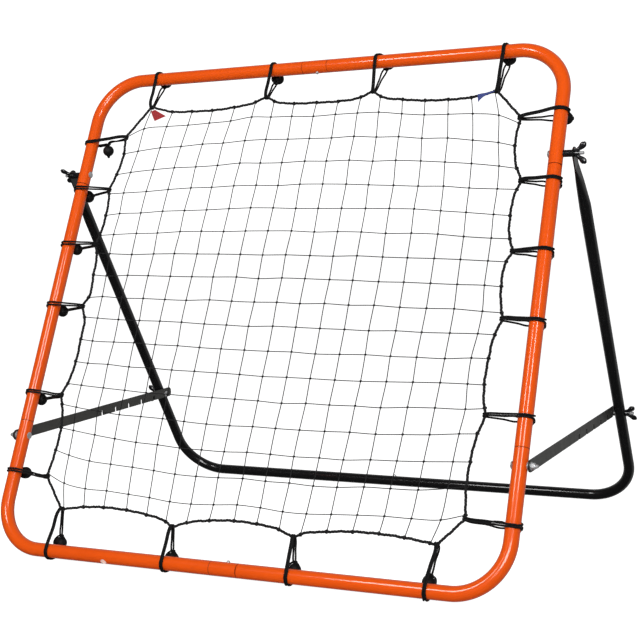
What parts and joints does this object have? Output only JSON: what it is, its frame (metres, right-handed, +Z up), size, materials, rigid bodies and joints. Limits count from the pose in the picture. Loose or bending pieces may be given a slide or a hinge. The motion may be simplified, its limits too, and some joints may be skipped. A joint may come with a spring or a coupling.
{
  "type": "pitch back rebounder",
  "caption": "Free-standing pitch back rebounder: a leaning square tube frame with a net held by elastic ball ties, propped by a folding rear leg frame and notched struts.",
  "frame": {"origin": "on the ground, in the middle of the footprint's bounding box", "axes": "+Z up, +X to the right as seen from the front, +Y from the net side towards the rear ground bar"},
  "size_m": [1.1008, 0.7648, 0.8992],
  "materials": {
    "orange_paint": "gloss powder coat",
    "black_paint": "satin powder coat",
    "strut_paint": "semi-gloss powder coat",
    "zinc_steel": "bright zinc plate",
    "black_hardware": "black zinc",
    "elastic_cord": "braided sheath",
    "ball_plastic": "satin moulded",
    "net_twine": "twisted cord",
    "red_ribbon": "woven satin",
    "blue_ribbon": "woven satin"
  },
  "bodies": {
    "front_frame": {"top_left_corner_tube": "orange_paint", "top_right_corner_tube": "orange_paint", "bottom_left_corner_tube": "orange_paint", "bottom_right_corner_tube": "orange_paint", "left_side_tube": "orange_paint", "right_side_tube": "orange_paint", "left_pivot_bolt": "zinc_steel", "right_pivot_bolt": "zinc_steel", "left_pivot_spacer": "black_hardware", "right_pivot_spacer": "black_hardware", "left_strut_bolt": "zinc_steel", "right_strut_bolt": "zinc_steel", "left_strut_lock_nut": "zinc_steel", "right_strut_lock_nut": "zinc_steel", "strut_washers": "zinc_steel", "top_snap_spring": "zinc_steel", "bottom_snap_spring": "zinc_steel", "top_bungee_cords": "elastic_cord", "right_bungee_cords": "elastic_cord", "bottom_bungee_cords": "elastic_cord", "left_bungee_cords": "elastic_cord", "top_bungee_balls": "ball_plastic", "right_bungee_balls": "ball_plastic", "bottom_bungee_balls": "ball_plastic", "left_bungee_balls": "ball_plastic"},
    "rear_frame": {"left_upper_leg_tube": "black_paint", "right_upper_leg_tube": "black_paint", "rear_left_base_tube": "black_paint", "rear_right_base_tube": "black_paint", "left_leg_bolt": "zinc_steel", "right_leg_bolt": "zinc_steel", "rear_snap_spring": "zinc_steel"},
    "left_strut_arm": {"left_strut": "strut_paint"},
    "right_strut_arm": {"right_strut": "strut_paint"},
    "left_pivot_nut": {"left_pivot_wing_nut": "black_hardware"},
    "right_pivot_nut": {"right_pivot_wing_nut": "black_hardware"},
    "left_leg_nut": {"left_leg_wing_nut": "black_hardware"},
    "right_leg_nut": {"right_leg_wing_nut": "black_hardware"},
    "top_button": {"top_snap_button": "zinc_steel"},
    "bottom_button": {"bottom_snap_button": "zinc_steel"},
    "rear_button": {"rear_snap_button": "zinc_steel"},
    "net": {"net_mesh": "net_twine", "net_border_rope": "net_twine", "red_corner_tag": "red_ribbon", "blue_corner_tag": "blue_ribbon"}
  },
  "joints": [
    {"name": "leg_fold", "type": "hinge", "parent": "front_frame", "child": "rear_frame", "pos_m": [0, -0.03503, 0.69544], "axis": [-1, 0, 0], "range_deg": [0, 55]},
    {"name": "left_strut_swing", "type": "hinge", "parent": "front_frame", "child": "left_strut_arm", "pos_m": [-0.5034, -0.27417, 0.20515], "axis": [1, 0, 0], "range_deg": [0, 62.3]},
    {"name": "right_strut_swing", "type": "hinge", "parent": "front_frame", "child": "right_strut_arm", "pos_m": [0.5034, -0.27417, 0.20515], "axis": [1, 0, 0], "range_deg": [0, 62.3]},
    {"name": "left_pivot_nut_turn", "type": "hinge", "parent": "front_frame", "child": "left_pivot_nut", "pos_m": [-0.5199, -0.03503, 0.69544], "axis": [-1, 0, 0], "continuous": true},
    {"name": "right_pivot_nut_turn", "type": "hinge", "parent": "front_frame", "child": "right_pivot_nut", "pos_m": [0.5199, -0.03503, 0.69544], "axis": [1, 0, 0], "continuous": true},
    {"name": "left_leg_nut_turn", "type": "hinge", "parent": "rear_frame", "child": "left_leg_nut", "pos_m": [-0.5326, 0.25789, 0.20239], "axis": [-1, 0, 0], "continuous": true},
    {"name": "right_leg_nut_turn", "type": "hinge", "parent": "rear_frame", "child": "right_leg_nut", "pos_m": [0.5326, 0.25789, 0.20239], "axis": [1, 0, 0], "continuous": true},
    {"name": "top_button_press", "type": "slide", "parent": "front_frame", "child": "top_button", "axis": [0, 0.4384, 0.8988], "range_m": [0, 0.0034], "stiffness_N_per_m": 3000, "springref_m": -0.002},
    {"name": "bottom_button_press", "type": "slide", "parent": "front_frame", "child": "bottom_button", "axis": [0, -0.4384, -0.8988], "range_m": [0, 0.0034], "stiffness_N_per_m": 3000, "springref_m": -0.002},
    {"name": "rear_button_press", "type": "slide", "parent": "rear_frame", "child": "rear_button", "axis": [0, 0, -1], "range_m": [0, 0.0034], "stiffness_N_per_m": 3000, "springref_m": -0.002},
    {"name": "net_rebound", "type": "slide", "parent": "front_frame", "child": "net", "axis": [0, -0.8988, 0.4384], "range_m": [-0.06, 0.02], "stiffness_N_per_m": 900}
  ],
  "couplings": [
    {"joint": "left_strut_swing", "follows": "leg_fold", "ratio": 1.1271},
    {"joint": "right_strut_swing", "follows": "leg_fold", "ratio": 1.1271}
  ]
}
